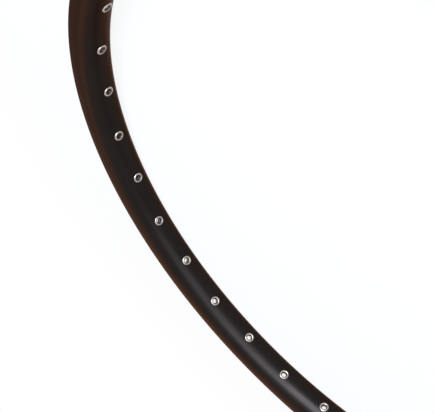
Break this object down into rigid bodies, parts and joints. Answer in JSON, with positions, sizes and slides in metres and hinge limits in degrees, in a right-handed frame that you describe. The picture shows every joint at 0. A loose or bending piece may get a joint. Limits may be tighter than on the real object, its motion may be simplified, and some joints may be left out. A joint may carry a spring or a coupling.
{
  "type": "bicycle rim",
  "caption": "Bicycle rim: a ring of hollow black double-walled section with hooked flanges for a tyre, bright eyelets in its spoke holes and a hole for the valve.",
  "frame": {"origin": "the wheel's centre, on the rim's mid-plane", "axes": "+Z along the wheel's axis, +X out through the valve hole; the rim lies on its lower side wall"},
  "size_m": [0.5709, 0.571, 0.0326],
  "materials": {
    "hoop": "black anodised, satin",
    "eyelets": "bright plated steel",
    "sleeve": "plain, as extruded"
  },
  "bodies": {
    "root": {"rim_hoop": "hoop", "left_eyelets": "eyelets", "right_eyelets": "eyelets", "joint_sleeve": "sleeve"}
  },
  "joints": []
}
